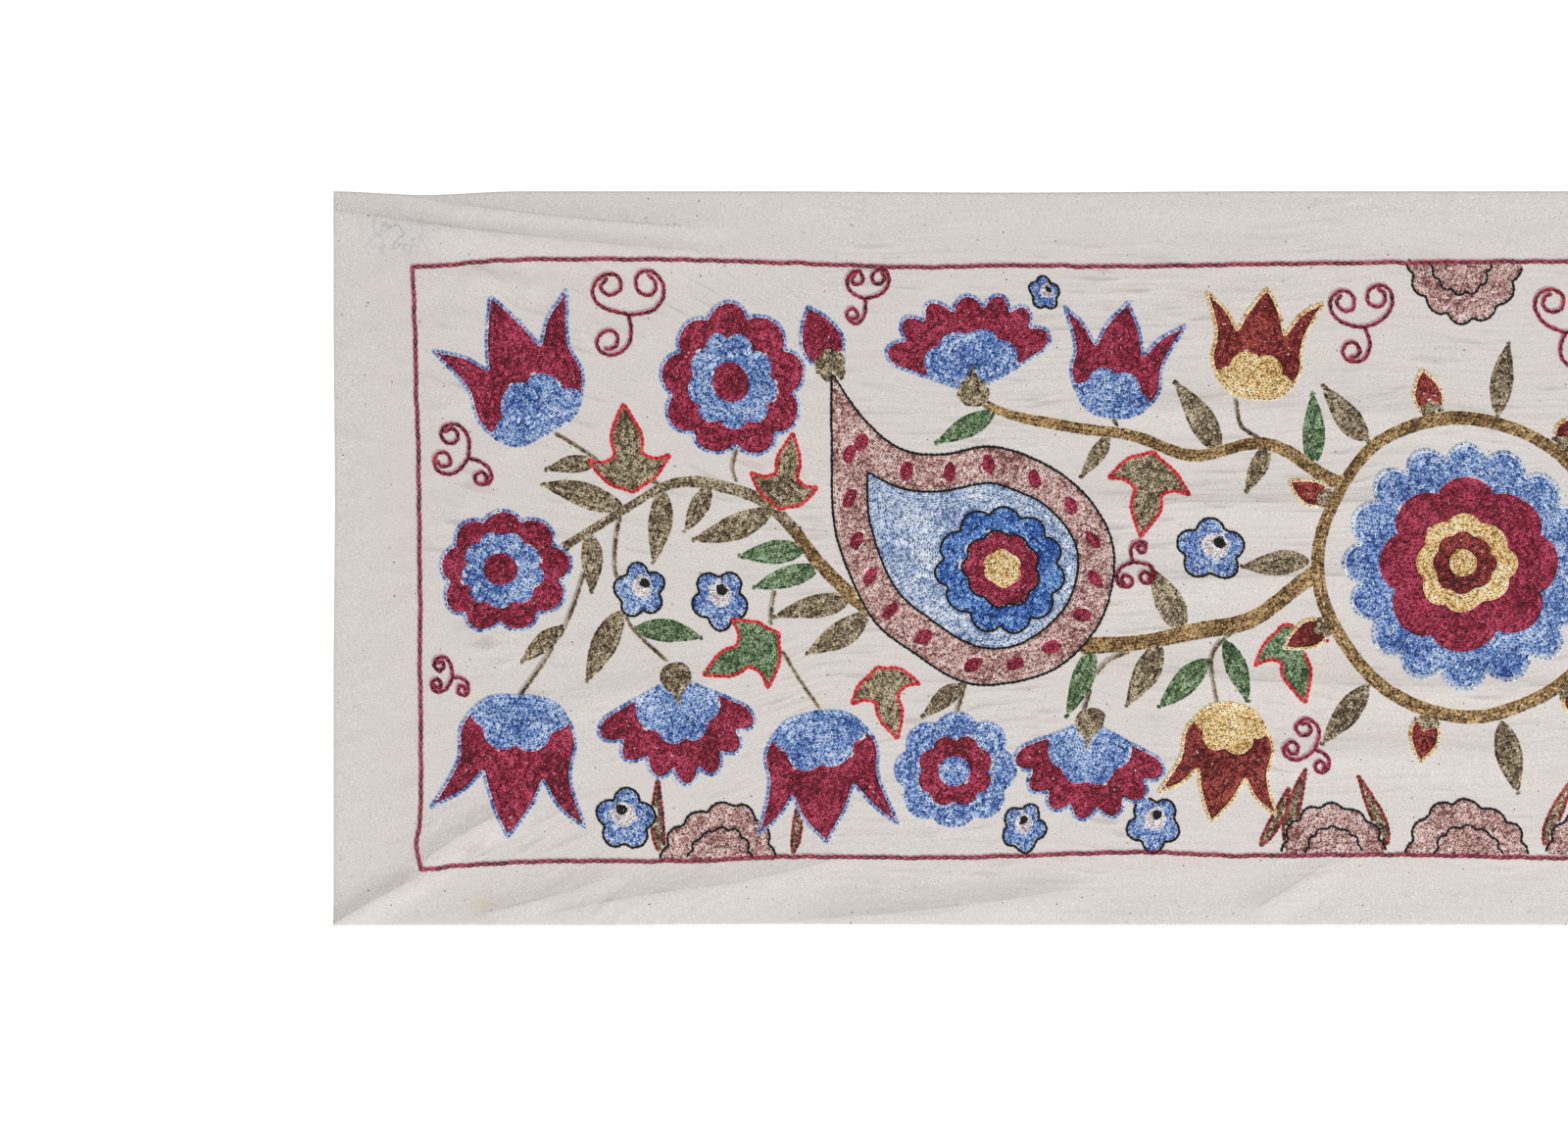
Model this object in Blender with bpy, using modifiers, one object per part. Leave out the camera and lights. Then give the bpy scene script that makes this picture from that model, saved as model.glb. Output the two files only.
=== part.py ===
"""The ground cloth of a suzani runner, laid out flat with its edges turned under.

Units are metres and +Z is up. +X runs along the cloth's length and +Y across its width. The origin
lies on the surface that carries the cloth, below the middle of the cloth. The cloth rests on that
surface, and only its folds stand clear of it.
"""

import math
from collections import namedtuple

import bpy

# Size of the cloth
LENGTH = 1.480
WIDTH = 0.480
CLOTH_THICKNESS = 0.0012
HEM_THICKNESS = 0.0020
HEM_WIDTH = 0.014
HEM_STEP = 0.0016

# A fold lifts the underside only where it stands higher than this, so that the rest lies truly flat.
LIFT_FROM = 0.0004

# How fine the sheet is: along the length, from the left end to the right, and across the width
Section = namedtuple("Section", "from_x to_x cells")
LENGTH_SECTIONS = (
    Section(-0.726, -0.600, 14),
    Section(-0.600, 0.600, 66),
    Section(0.600, 0.726, 14),
)
WIDTH_CELLS = 54

# Folds as rounded ridges from one point to another. bow is how far the middle of the run swings to
# its left, height is the crest over the surface, and half_width is where the ridge has fallen to a
# third of it. A run that starts past the edge of the cloth runs out at that edge.
Fold = namedtuple("Fold", "name x0 y0 x1 y1 bow height half_width")
FOLDS = (
    Fold("corner crease, outer", -0.765, -0.254, -0.672, -0.202, 0.002, 0.0046, 0.0075),
    Fold("corner crease, inner", -0.694, -0.208, -0.612, -0.158, 0.004, 0.0032, 0.0090),
    Fold("bottom margin, by the corner", -0.656, -0.234, -0.540, -0.201, -0.003, 0.0030, 0.0100),
    Fold("bottom margin, long", -0.615, -0.236, -0.450, -0.210, 0.004, 0.0034, 0.0110),
    Fold("bottom margin, upper", -0.486, -0.212, -0.398, -0.192, -0.002, 0.0024, 0.0090),
    Fold("bottom margin, middle", -0.446, -0.236, -0.232, -0.211, -0.004, 0.0032, 0.0120),
    Fold("bottom margin, short", -0.146, -0.234, -0.082, -0.194, 0.000, 0.0024, 0.0080),
    Fold("top margin, from the corner", -0.775, 0.233, -0.462, 0.198, -0.004, 0.0034, 0.0110),
    Fold("top margin, upper", -0.700, 0.238, -0.468, 0.215, -0.004, 0.0026, 0.0090),
    Fold("field, under the top line", -0.660, 0.190, -0.600, 0.174, 0.001, 0.0020, 0.0070),
    Fold("field, low left", -0.600, -0.096, -0.480, -0.075, 0.003, 0.0020, 0.0100),
    Fold("field ripple 1", -0.290, 0.098, 0.060, 0.086, 0.006, 0.0021, 0.0100),
    Fold("field ripple 2", -0.270, 0.040, 0.085, 0.044, -0.005, 0.0024, 0.0110),
    Fold("field ripple 3", -0.310, -0.020, 0.020, -0.012, 0.004, 0.0022, 0.0100),
    Fold("field ripple 4", -0.250, -0.072, 0.095, -0.082, -0.005, 0.0025, 0.0110),
    Fold("field ripple 5", -0.190, -0.132, 0.075, -0.128, 0.004, 0.0021, 0.0100),
    Fold("field ripple 6", 0.160, 0.070, 0.420, 0.052, 0.005, 0.0022, 0.0110),
    Fold("field ripple 7", 0.210, -0.050, 0.500, -0.064, -0.004, 0.0022, 0.0110),
    Fold("top margin, right", 0.330, 0.202, 0.590, 0.226, 0.004, 0.0030, 0.0110),
    Fold("bottom margin, right", 0.240, -0.212, 0.480, -0.235, -0.004, 0.0030, 0.0120),
    Fold("right corner crease", 0.668, 0.200, 0.765, 0.252, 0.002, 0.0040, 0.0080),
    Fold("right corner, lower", 0.610, -0.194, 0.700, -0.234, 0.003, 0.0028, 0.0090),
)

# Share of a ridge's length over which it rises from the flat at either end
RUN_OUT = 0.22

# Where an edge draws in a little: side, middle of the stretch, its half length, and the depth
Draw = namedtuple("Draw", "side middle half_length depth")
EDGE_DRAWS = (
    Draw("top", -0.680, 0.062, 0.0024),
    Draw("top", -0.300, 0.160, 0.0008),
    Draw("top", 0.360, 0.180, 0.0014),
    Draw("bottom", -0.420, 0.150, 0.0007),
    Draw("bottom", 0.250, 0.210, 0.0012),
    Draw("left", 0.040, 0.120, 0.0008),
    Draw("right", -0.060, 0.140, 0.0012),
)

COLLECTION_NAME = "suzani_runner"
CLOTH_COLOUR = (0.70, 0.65, 0.59, 1.0)
CLOTH_ROUGHNESS = 0.9


def clear_scene():
    for old in list(bpy.data.objects):
        bpy.data.objects.remove(old, do_unlink=True)


def smooth(share):
    """Rises from 0 to 1 with level ends."""
    share = min(max(share, 0.0), 1.0)
    return share * share * (3.0 - 2.0 * share)


def ridge(fold, x, y):
    """Height of one fold over the point."""
    run_x, run_y = fold.x1 - fold.x0, fold.y1 - fold.y0
    length = math.hypot(run_x, run_y)
    along = ((x - fold.x0) * run_x + (y - fold.y0) * run_y) / length**2
    if not 0.0 < along < 1.0:
        return 0.0
    aside = ((y - fold.y0) * run_x - (x - fold.x0) * run_y) / length
    aside -= fold.bow * 4.0 * along * (1.0 - along)
    rise = smooth(along / RUN_OUT) * smooth((1.0 - along) / RUN_OUT)
    return fold.height * rise * math.exp(-((aside / fold.half_width) ** 2))


def underside(x, y):
    """Height of the cloth's underside over the surface: the tallest fold there, or flat."""
    tallest = max(ridge(fold, x, y) for fold in FOLDS)
    return max(tallest - LIFT_FROM, 0.0)


def drawn_in(side, place):
    """How far that edge lies inside the straight line at this place along it."""
    depth = 0.0
    for draw in EDGE_DRAWS:
        if draw.side == side:
            share = abs(place - draw.middle) / draw.half_length
            depth += draw.depth * smooth(1.0 - share)
    return depth


def hem_lines(half_size):
    """Grid lines of the turned edge, from the edge inwards."""
    return half_size, half_size - HEM_WIDTH, half_size - HEM_WIDTH - HEM_STEP


def length_lines():
    """Places of the grid lines along the cloth."""
    edge, fold, inner = hem_lines(LENGTH / 2)
    inside = []
    for section in LENGTH_SECTIONS:
        step = (section.to_x - section.from_x) / section.cells
        inside += [section.from_x + step * i for i in range(section.cells)]
    inside[0] = -inner
    return [-edge, -fold, *inside, inner, fold, edge]


def width_lines():
    """Places of the grid lines across the cloth."""
    edge, fold, inner = hem_lines(WIDTH / 2)
    step = 2 * inner / WIDTH_CELLS
    inside = [-inner + step * i for i in range(WIDTH_CELLS)]
    return [-edge, -fold, *inside, inner, fold, edge]


def place_on_cloth(x, y):
    """Moves a point of the straight rectangle to where the cloth's uneven edges put it."""
    share_x, share_y = x / (LENGTH / 2), y / (WIDTH / 2)
    pull_top = drawn_in("top", x) * smooth(share_y)
    pull_bottom = drawn_in("bottom", x) * smooth(-share_y)
    pull_right = drawn_in("right", y) * smooth(share_x)
    pull_left = drawn_in("left", y) * smooth(-share_x)
    return x + pull_left - pull_right, y + pull_bottom - pull_top


def cotton():
    material = bpy.data.materials.new("unbleached_cotton")
    material.use_nodes = True
    shader = material.node_tree.nodes["Principled BSDF"]
    shader.inputs["Base Color"].default_value = CLOTH_COLOUR
    shader.inputs["Roughness"].default_value = CLOTH_ROUGHNESS
    shader.inputs["Metallic"].default_value = 0.0
    return material


def ground_cloth(collection):
    """One sheet: its underside is a grid on the folds, and Solidify gives it body."""
    columns, rows = length_lines(), width_lines()
    last_column, last_row = len(columns) - 1, len(rows) - 1
    bpy.ops.mesh.primitive_grid_add(x_subdivisions=last_column, y_subdivisions=last_row, size=2.0)
    cloth = bpy.context.object
    cloth.name = "ground_cloth"
    hem = cloth.vertex_groups.new(name="hem")

    for vertex in cloth.data.vertices:
        column = round((vertex.co.x + 1.0) / 2.0 * last_column)
        row = round((vertex.co.y + 1.0) / 2.0 * last_row)
        x, y = place_on_cloth(columns[column], rows[row])
        vertex.co = (x, y, underside(x, y))
        if column < 2 or row < 2 or column > last_column - 2 or row > last_row - 2:
            hem.add([vertex.index], 1.0, "REPLACE")

    body = cloth.modifiers.new("cloth and hem", "SOLIDIFY")
    body.thickness = HEM_THICKNESS
    body.offset = 1.0
    body.vertex_group = hem.name
    body.thickness_vertex_group = CLOTH_THICKNESS / HEM_THICKNESS

    cloth.data.materials.append(cotton())
    cloth.data.shade_smooth()
    for owner in list(cloth.users_collection):
        owner.objects.unlink(cloth)
    collection.objects.link(cloth)
    return cloth


def main():
    clear_scene()
    collection = bpy.data.collections.new(COLLECTION_NAME)
    bpy.context.scene.collection.children.link(collection)
    ground_cloth(collection)


main()
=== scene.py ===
"""A suzani runner laid out flat: unbleached cotton, worked in silk chain stitch.

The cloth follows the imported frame's folds and edges. A motif is an outline, its fill is rows of stitches
that follow the outline inwards, and every stitch is a small loop of thread on the cloth. The design is a
generic one, drawn in millimetres from the middle of the cloth, x along it and y across. The scene is in
metres.
"""

import math
from collections import defaultdict, namedtuple

import bpy
import numpy as np
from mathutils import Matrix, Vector


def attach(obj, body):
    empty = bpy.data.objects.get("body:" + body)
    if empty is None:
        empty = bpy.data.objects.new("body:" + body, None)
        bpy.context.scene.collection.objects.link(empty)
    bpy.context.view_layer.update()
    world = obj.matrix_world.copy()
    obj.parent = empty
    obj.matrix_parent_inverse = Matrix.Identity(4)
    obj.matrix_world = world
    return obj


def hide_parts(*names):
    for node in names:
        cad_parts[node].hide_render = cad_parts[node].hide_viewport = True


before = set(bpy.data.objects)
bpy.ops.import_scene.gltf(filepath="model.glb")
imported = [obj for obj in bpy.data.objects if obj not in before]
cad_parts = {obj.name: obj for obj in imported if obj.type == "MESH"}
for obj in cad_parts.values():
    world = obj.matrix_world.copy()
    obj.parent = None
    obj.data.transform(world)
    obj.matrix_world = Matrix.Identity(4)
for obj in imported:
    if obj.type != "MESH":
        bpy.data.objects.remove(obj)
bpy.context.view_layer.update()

MM = 0.001

# Size of the cloth in metres, and its folds and uneven edges in millimetres, as part.py has them
LENGTH = 1.480
WIDTH = 0.480
LIFT_FROM = 0.0004
RUN_OUT = 0.22
Fold = namedtuple("Fold", "x0 y0 x1 y1 bow height half_width")
FOLDS = [Fold(*(size / 1000 for size in sizes)) for sizes in (
    # crease to the lower left corner
    (-765, -254, -672, -202, 2, 4.6, 7.5),
    (-694, -208, -612, -158, 4, 3.2, 9),
    # bottom margin
    (-656, -234, -540, -201, -3, 3, 10),
    (-615, -236, -450, -210, 4, 3.4, 11),
    (-486, -212, -398, -192, -2, 2.4, 9),
    (-446, -236, -232, -211, -4, 3.2, 12),
    (-146, -234, -82, -194, 0, 2.4, 8),
    # top margin
    (-775, 233, -462, 198, -4, 3.4, 11),
    (-700, 238, -468, 215, -4, 2.6, 9),
    # field
    (-660, 190, -600, 174, 1, 2, 7),
    (-600, -96, -480, -75, 3, 2, 10),
    (-290, 98, 60, 86, 6, 2.1, 10),
    (-270, 40, 85, 44, -5, 2.4, 11),
    (-310, -20, 20, -12, 4, 2.2, 10),
    (-250, -72, 95, -82, -5, 2.5, 11),
    (-190, -132, 75, -128, 4, 2.1, 10),
    (160, 70, 420, 52, 5, 2.2, 11),
    (210, -50, 500, -64, -4, 2.2, 11),
    # right half: margins and corners
    (330, 202, 590, 226, 4, 3, 11),
    (240, -212, 480, -235, -4, 3, 12),
    (668, 200, 765, 252, 2, 4, 8),
    (610, -194, 700, -234, 3, 2.8, 9),
)]

# Where an edge is drawn in: the edge, the middle of the stretch, half its length and its depth
EDGE_DRAWS = (
    ("top", -680, 62, 2.4),
    ("top", -300, 160, 0.8),
    ("top", 360, 180, 1.4),
    ("bottom", -420, 150, 0.7),
    ("bottom", 250, 210, 1.2),
    ("left", 40, 120, 0.8),
    ("right", -60, 140, 1.2),
)

# The cloth itself: thickness in the field and at the turned edge, and the fine unevenness of its face
CLOTH_THICKNESS = 0.0010
EDGE_THICKNESS = 0.0017
EDGE_FADE = 0.030
EDGE_ROUND = 0.0016
RIM_STEPS = (0.0, 0.0004, 0.0009, 0.0016, 0.0032)
CELL_ACROSS = 0.0027
CELL_ALONG = 0.0076
CELL_AT_ENDS = 0.0036
ENDS_FROM = 0.600
PUCKER_HEIGHT = 0.00013
RIPPLE_HEIGHT = 0.00020

# A fold stands up steeply on its left side, seen along its run, and falls off softly on its right. Its crest
# is rounded, and a fold of SHARP_FROM or more also gets a painted line of shade along its upper edge
STEEP_SIDE = 0.75
SOFT_SIDE = 1.5
CREST_ROUND = 0.0024
SHARP_FROM = 0.0022

# Stitches, in millimetres like all of the design
ROW_PITCH = 1.65
FILL_STITCH = 3.1
LINE_STITCH = 3.3
LINK_STITCH = 4.6
FRAME_STITCH = 5.2
EDGE_ROW = 0.85
OUTLINE_ROOM = 1.0
HIDDEN_BY_LINED = 1.3
HIDDEN_BY_BARE = 0.3
GAP_FROM = 0.98
GAP_STITCH = 2.6
DESIGN_CELL = 0.9
HALF_FIELD = (750, 250)
GAP_WINDOW = 4
HAND_DRIFT = 1.5
HALVES_DIFFER = 1.8
STITCH_SWAY = 0.16
STITCH_JITTER = 0.22
SHORTEST_RING = 1.6 * FILL_STITCH
SHORTEST_ROW = 0.5 * FILL_STITCH
FAR = 9.0

# Middle and spread of the tone that each kind of stitch takes, from 0, dark, to 1, light
TONES = {
    "fill": (0.5, 0.25),
    "line": (0.66, 0.20),
    "fine": (0.5, 0.20),
    "link": (0.5, 0.16),
    "frame": (0.5, 0.15),
}
TINT = 0.12
rng = np.random.default_rng(11)


# The cloth's surface
def smooth(share):
    """Rises from 0 to 1 with level ends."""
    share = np.clip(share, 0.0, 1.0)
    return share * share * (3.0 - 2.0 * share)


def drift(x, y, wavelength, seed):
    """Smooth noise, mostly between -1 and 1."""
    waves = np.random.default_rng(seed)
    total = np.zeros(np.shape(x))
    for _ in range(6):
        angle, stretch, phase = waves.uniform((0, 0.6, 0), (2 * math.pi, 1.5, 2 * math.pi))
        k = 2 * math.pi * stretch / wavelength
        total = total + np.sin(k * (x * math.cos(angle) + y * math.sin(angle)) + phase)
    return total / 2.4


def fold_lift(x, y):
    """How far the folds lift the underside at each point."""
    total = np.zeros(np.shape(x))
    for fold in FOLDS:
        run_x, run_y = fold.x1 - fold.x0, fold.y1 - fold.y0
        length = math.hypot(run_x, run_y)
        along = ((x - fold.x0) * run_x + (y - fold.y0) * run_y) / length**2
        aside = ((y - fold.y0) * run_x - (x - fold.x0) * run_y) / length
        aside = aside - fold.bow * 4.0 * along * (1.0 - along)
        rise = smooth(along / RUN_OUT) * smooth((1.0 - along) / RUN_OUT)
        past_crest = np.hypot(aside, CREST_ROUND) - CREST_ROUND
        steep = np.exp(-past_crest / (STEEP_SIDE * fold.half_width))
        soft = np.exp(-((aside / (SOFT_SIDE * fold.half_width)) ** 2))
        total += (fold.height * rise * np.where(aside > 0, steep, soft)) ** 4
    height = total**0.25
    return height**2 / (height + LIFT_FROM)


def from_edge(x, y):
    """Distance from the nearest edge of the straight rectangle, and 0 past it."""
    return np.maximum(np.minimum(LENGTH / 2 - np.abs(x), WIDTH / 2 - np.abs(y)), 0.0)


def thickness(x, y):
    """The cloth is double at its turned edge, which shows only as a soft rise."""
    return CLOTH_THICKNESS + (EDGE_THICKNESS - CLOTH_THICKNESS) * smooth(1.0 - from_edge(x, y) / EDGE_FADE)


def unevenness(x, y):
    """Low puckers all over, and flat ripples that run along the cloth."""
    puckers = drift(x, y, 0.034, 21) + 0.6 * drift(x, y, 0.019, 22)
    ripples = drift(0.22 * x, y, 0.030, 23)
    patches = smooth(0.5 + 0.5 * drift(x, y, 0.260, 24))
    return PUCKER_HEIGHT * puckers + RIPPLE_HEIGHT * ripples * patches


def cloth_top(x, y):
    """Height of the cloth's face."""
    calm = smooth(from_edge(x, y) / 0.012)
    return fold_lift(x, y) + thickness(x, y) + calm * np.maximum(unevenness(x, y), -0.6 * CLOTH_THICKNESS)


def place_on_cloth(x, y):
    """Moves points of the straight rectangle to where the cloth's uneven edges put them."""

    def drawn_in(side, place):
        total = 0.0
        for edge, *sizes in EDGE_DRAWS:
            middle, half_length, depth = (size / 1000 for size in sizes)
            if edge == side:
                total = total + depth * smooth(1.0 - np.abs(place - middle) / half_length)
        return total

    share_x, share_y = x / (LENGTH / 2), y / (WIDTH / 2)
    pull_x = drawn_in("left", y) * smooth(-share_x) - drawn_in("right", y) * smooth(share_x)
    pull_y = drawn_in("bottom", x) * smooth(-share_y) - drawn_in("top", x) * smooth(share_y)
    return x + pull_x, y + pull_y


def add_object(name, data):
    made = bpy.data.objects.new(name, data)
    bpy.context.scene.collection.objects.link(made)
    return made


def mesh_object(name, points, faces, attributes=()):
    """A smooth mesh from arrays of points and faces."""
    mesh = bpy.data.meshes.new(name)
    mesh.from_pydata(points.tolist(), (), faces.tolist())
    mesh.validate()
    mesh.shade_smooth()
    for label, values in attributes:
        mesh.attributes.new(label, "FLOAT", "POINT").data.foreach_set("value", values.astype(np.float32))
    return add_object(name, mesh)


def grid_lines(half_size, knots, cells):
    """Grid lines over the cloth: even between the knots, and close together at its rounded edge."""
    low = [-half_size + step for step in RIM_STEPS[:-1]]
    knots = [-half_size + RIM_STEPS[-1], *knots, half_size - RIM_STEPS[-1]]
    inner = [knots[0]]
    for a, b, cell in zip(knots, knots[1:], cells):
        inner += list(np.linspace(a, b, round((b - a) / cell) + 1)[1:])
    return np.array(low + inner + [-place for place in reversed(low)])


def ground_cloth():
    """One closed sheet: the face, and an underside that meets it along the edge."""
    columns = grid_lines(LENGTH / 2, (-ENDS_FROM, ENDS_FROM), (CELL_AT_ENDS, CELL_ALONG, CELL_AT_ENDS))
    x, y = np.meshgrid(columns, grid_lines(WIDTH / 2, (), (CELL_ACROSS,)), indexing="ij")
    lift, thick = fold_lift(x, y), thickness(x, y)
    full = np.sqrt(1.0 - (1.0 - np.minimum(from_edge(x, y) / EDGE_ROUND, 1.0)) ** 2)
    top = cloth_top(x, y) - 0.6 * thick * (1.0 - full)
    bottom = lift + 0.4 * thick * (1.0 - full)
    x, y = place_on_cloth(x, y)
    face = np.arange(x.size).reshape(x.shape)
    back = face.copy()
    inside = np.zeros(x.shape, bool)
    inside[1:-1, 1:-1] = True
    back[inside] = x.size + np.arange(inside.sum())
    points = np.vstack([
        np.stack([x, y, top], -1).reshape(-1, 3),
        np.stack([x, y, bottom], -1)[inside],
    ])

    def quads(index):
        around = (index[:-1, :-1], index[1:, :-1], index[1:, 1:], index[:-1, 1:])
        return np.stack([corner.ravel() for corner in around], 1)

    faces = np.vstack([quads(face), quads(back)[:, ::-1]])
    return mesh_object("ground_cloth_cotton", points, faces)


# Curves
def spline(points, steps=8):
    """A smooth open line through the points."""
    p = np.array(points, float)
    q = np.vstack([2 * p[0] - p[1], p, 2 * p[-1] - p[-2]])
    t = np.arange(steps)[:, None] / steps
    spans = [
        0.5 * (2 * b + (c - a) * t + (2 * a - 5 * b + 4 * c - d) * t**2 + (3 * b - a - 3 * c + d) * t**3)
        for a, b, c, d in zip(q, q[1:], q[2:], q[3:])
    ]
    return np.vstack([*spans, p[-1:]])


def even_outline(*runs):
    """A closed line symmetric about x = 0, from its right half: smooth runs from the base to the tip."""
    half = np.vstack([spline(run)[:-1] for run in runs] + [[runs[-1][-1]]])
    other = half[::-1] * (-1, 1)
    return np.vstack([half, other[1:-1]])


def points_round(centre, angle, radius):
    """Points round a centre, at angles that start at the top."""
    return np.stack([centre[0] + radius * np.sin(angle), centre[1] + radius * np.cos(angle)], 1)


def scalloped(radius, lobes, depth=0.14, centre=(0, 0), power=0.7, start=0.0):
    """A round closed line with lobes. depth is how far its notches cut in, as a share of the radius."""
    angle = np.linspace(0, 2 * math.pi, lobes * 10, endpoint=False)
    wave = np.abs(np.cos(lobes * (angle - start) / 2)) ** power
    return points_round(centre, angle, radius * (1 - depth + depth * wave))


def disc(radius, centre=(0, 0), steps=28):
    return points_round(centre, np.linspace(0, 2 * math.pi, steps, endpoint=False), radius)


def moved(line, x=0.0, y=0.0, turn=0.0, size=1.0, bend=0.0):
    """The line bent, scaled, turned by degrees and shifted. bend swings it sideways further up."""
    line = np.array(line, float)
    line = line + np.stack([bend * line[:, 1] ** 2 / 100, np.zeros(len(line))], 1)
    c, s = math.cos(math.radians(turn)), math.sin(math.radians(turn))
    return size * line @ np.array([[c, s], [-s, c]]) + (x, y)


def ribbon(points, start_width, end_width):
    """The closed line round a tapering band along the points."""
    path = spline(points, 6)
    step = np.gradient(path, axis=0)
    side = np.stack([-step[:, 1], step[:, 0]], 1) / np.hypot(*step.T)[:, None]
    half = np.linspace(start_width, end_width, len(path))[:, None] / 2
    return np.vstack([path + half * side, (path - half * side)[::-1]])


def curl(length, turns, way, steps=50):
    """An open line from (0, 0) along +X that winds itself up to the left (way 1) or right (way -1)."""
    heading = way * 2 * math.pi * turns * np.linspace(0, 1, steps) ** 1.7
    ahead = np.stack([np.cos(heading), np.sin(heading)], 1)
    return np.vstack([(0, 0), np.cumsum(length / steps * ahead, axis=0)])


def run_along(line):
    """How far along an open line each of its points lies."""
    return np.concatenate([[0], np.cumsum(np.hypot(*np.diff(line, axis=0).T))])


def points_at(places, at, line):
    """The line's points at these places. at gives the places of its own points."""
    return np.stack([np.interp(places, at, line[:, k]) for k in (0, 1)], -1)


# Areas, inside each of some closed lines and outside others. Rows keep clear of a line that is worked as an
# outline too
Border = namedtuple("Border", "line lined")


def bare(line):
    return Border(line, False)


def lined(line):
    return Border(line, True)


def distance_to(line, x, y):
    """Distance of the points from a closed line, negative inside it."""
    nearest = np.full(x.shape, np.inf)
    inside = np.zeros(x.shape, bool)
    for (x0, y0), (x1, y1) in zip(line, np.roll(line, -1, axis=0)):
        ex, ey = x1 - x0, y1 - y0
        share = np.clip(((x - x0) * ex + (y - y0) * ey) / (ex * ex + ey * ey + 1e-9), 0, 1)
        nearest = np.minimum(nearest, (x - x0 - share * ex) ** 2 + (y - y0 - share * ey) ** 2)
        if ey:
            inside ^= ((y0 <= y) != (y1 <= y)) & (x < x0 + (y - y0) / ey * ex)
    return np.where(inside, -1, 1) * np.sqrt(nearest)


def depth_grids(inside, outside=()):
    """On part of the design's grid: how far each cell lies outside what rows may fill, how far outside what
    the area hides, and that part's first cell."""
    low = np.max([line.min(0) for line, _ in inside], axis=0)
    high = np.min([line.max(0) for line, _ in inside], axis=0)
    first = np.floor((low - 3) / DESIGN_CELL).astype(int)
    last = np.ceil((high + 3) / DESIGN_CELL).astype(int)
    x, y = np.meshgrid(*(DESIGN_CELL * np.arange(a, b + 1) for a, b in zip(first, last)))
    field = np.full(x.shape, -np.inf)
    hiding = field
    for side, borders in ((1, inside), (-1, outside)):
        for line, outlined in borders:
            distance = side * distance_to(line, x, y)
            field = np.maximum(field, distance + (OUTLINE_ROOM if outlined else 0.0))
            hiding = np.maximum(hiding, distance - (HIDDEN_BY_LINED if outlined else HIDDEN_BY_BARE))
    return field, hiding, first


def level_lines(field, first, level):
    """Closed lines along which the field has this level."""
    below = field < level
    columns = field.shape[1]
    flat = field.ravel()
    count = below[:-1, :-1].astype(int) + below[1:, :-1] + below[:-1, 1:] + below[1:, 1:]
    links = defaultdict(list)
    for row, column in np.argwhere((count > 0) & (count < 4)):
        corner = row * columns + column
        over = corner + columns
        # each side of the cell is a pair of its corners
        sides = ((corner, corner + 1), (corner + 1, over + 1), (over, over + 1), (corner, over))
        cut = [side for side in sides if (flat[side[0]] < level) != (flat[side[1]] < level)]
        if len(cut) == 4:
            middle = flat[[corner, corner + 1, over, over + 1]].mean()
            if (middle < level) != (flat[corner] < level):
                cut = [cut[0], cut[3], cut[1], cut[2]]
        for one, other in zip(cut[::2], cut[1::2]):
            links[one].append(other)
            links[other].append(one)
    lines = []
    while links:
        here, before, path = next(iter(links)), None, []
        while here in links:
            path.append(here)
            one, other = links.pop(here)
            before, here = here, other if one == before else one
        ends = np.array(path)
        a, b = flat[ends[:, 0]], flat[ends[:, 1]]
        share = ((level - a) / (b - a))[:, None]
        start = np.stack([ends[:, 0] % columns, ends[:, 0] // columns], 1)
        end = np.stack([ends[:, 1] % columns, ends[:, 1] // columns], 1)
        lines.append(DESIGN_CELL * (first + start + share * (end - start)))
    return lines


def closed_up(line, closed):
    """The line, ending where it starts if it is closed."""
    return np.vstack([line, line[:1]]) if closed else line


def middle_line(loop):
    """The line halfway between the two long sides of a thin loop."""
    loop = np.roll(loop, -np.argmax(((loop - loop[0]) ** 2).sum(1)), axis=0)
    end = np.argmax(((loop - loop[0]) ** 2).sum(1))
    at = np.linspace(0, 1, 12)
    sides = (loop[: end + 1], np.vstack([loop[end:], loop[:1]])[::-1])
    return sum(points_at(at, np.linspace(0, 1, len(side)), side) for side in sides) / 2


def fill_rows(field, first):
    """Rows of stitches that follow the area's outline inwards: (line, closed)."""
    rows = []
    level = -EDGE_ROW
    while level > field.min():
        for line in level_lines(field, first, level):
            if run_along(closed_up(line, True))[-1] > SHORTEST_RING:
                rows.append((line, True))
        between = level - ROW_PITCH / 2
        for loop in level_lines(field, first, between):
            low = (loop.min(0) / DESIGN_CELL).astype(int) - first
            high = (loop.max(0) / DESIGN_CELL).astype(int) - first + 2
            if field[low[1] : high[1], low[0] : high[0]].min() > level - ROW_PITCH:
                line = middle_line(loop)
                if run_along(line)[-1] > SHORTEST_ROW:
                    rows.append((line, False))
        level -= ROW_PITCH
    return rows


def bring_near(nearest, first, ends):
    """Lowers the distance to the nearest stitch on the cells round these."""
    x0, y0, x1, y1 = (ends / DESIGN_CELL)[:, :, None, None].transpose(1, 0, 2, 3)
    reach = np.arange(-GAP_WINDOW, GAP_WINDOW + 1)
    column = ((x0 + x1) / 2).round().astype(int) + reach[None, None, :]
    row = ((y0 + y1) / 2).round().astype(int) + reach[None, :, None]
    column, row = np.broadcast_arrays(column, row)
    step_x, step_y = x1 - x0, y1 - y0
    share = np.clip(((column - x0) * step_x + (row - y0) * step_y) / (step_x**2 + step_y**2 + 1e-9), 0, 1)
    distance = DESIGN_CELL * np.hypot(column - x0 - share * step_x, row - y0 - share * step_y)
    column, row = column - first[0], row - first[1]
    kept = (column >= 0) & (row >= 0) & (column < nearest.shape[1]) & (row < nearest.shape[0])
    np.minimum.at(nearest, (row[kept], column[kept]), distance[kept])


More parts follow.
